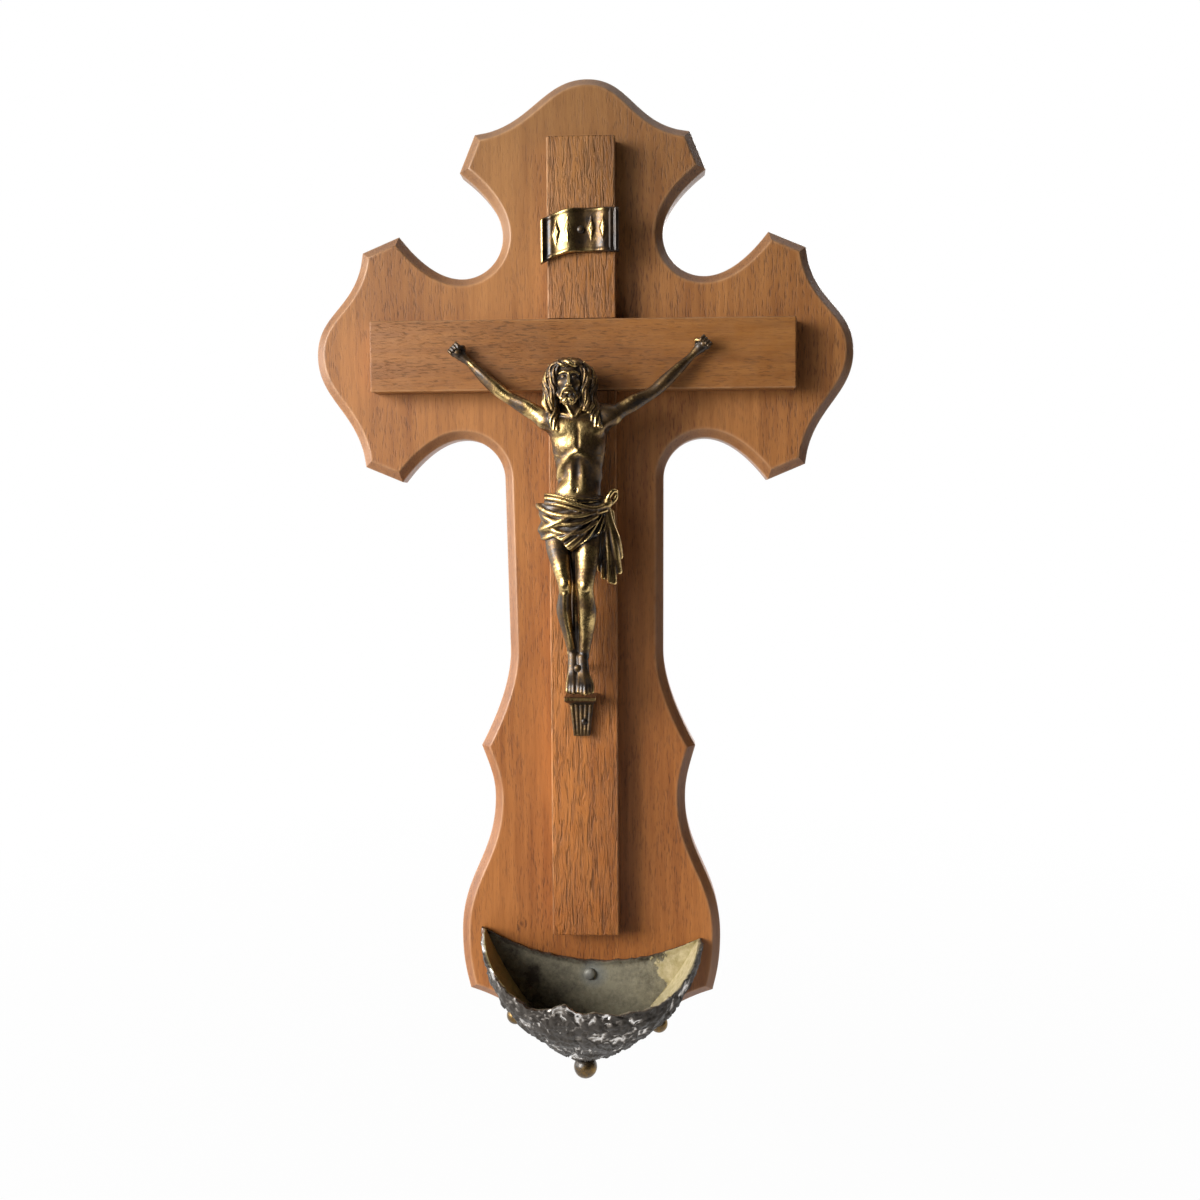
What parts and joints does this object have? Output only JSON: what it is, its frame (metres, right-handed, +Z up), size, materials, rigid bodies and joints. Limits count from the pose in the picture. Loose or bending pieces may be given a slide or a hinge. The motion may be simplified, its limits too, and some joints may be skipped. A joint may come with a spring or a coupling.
{
  "type": "holy water stoup",
  "caption": "Wall crucifix with a holy water stoup: cross-shaped board with a half-lapped cross, cast figure and title scroll, above a cast bowl; hangs by a recessed keyhole plate.",
  "frame": {"origin": "on the back face of the board, behind the crossing of the two strips", "axes": "+Z up along the cross, +Y out of the back face into the wall, the front faces -Y"},
  "size_m": [0.1912, 0.0483, 0.3566],
  "materials": {
    "board_wood": "waxed beech with short dark flecks",
    "strip_wood": "open-grained, lightly waxed",
    "antique_brass": "antique, polished on the high spots and dark in the recesses",
    "bright_brass": "polished by handling",
    "dark_bronze": "dark silvery patina with worn gilding inside",
    "screw_steel": "zinc plated"
  },
  "bodies": {
    "root": {"back_board": "board_wood", "cross_upright": "strip_wood", "cross_bar": "strip_wood", "title_scroll": "antique_brass", "title_nail": "antique_brass", "corpus_body": "antique_brass", "corpus_arm_left": "antique_brass", "corpus_arm_right": "antique_brass", "hand_nail_left": "antique_brass", "hand_nail_right": "antique_brass", "foot_nail": "antique_brass", "foot_bracket": "antique_brass", "foot_bracket_nail": "antique_brass", "stoup_bowl": "dark_bronze", "bowl_nail": "dark_bronze", "bowl_knob_left": "bright_brass", "bowl_knob_right": "bright_brass", "bowl_knob_bottom": "bright_brass", "cross_screw_top": "screw_steel", "cross_screw_bottom": "screw_steel", "cross_screw_left": "screw_steel", "cross_screw_right": "screw_steel", "hanger_plate": "screw_steel", "hanger_screw_top": "screw_steel", "hanger_screw_bottom": "screw_steel"}
  },
  "joints": []
}
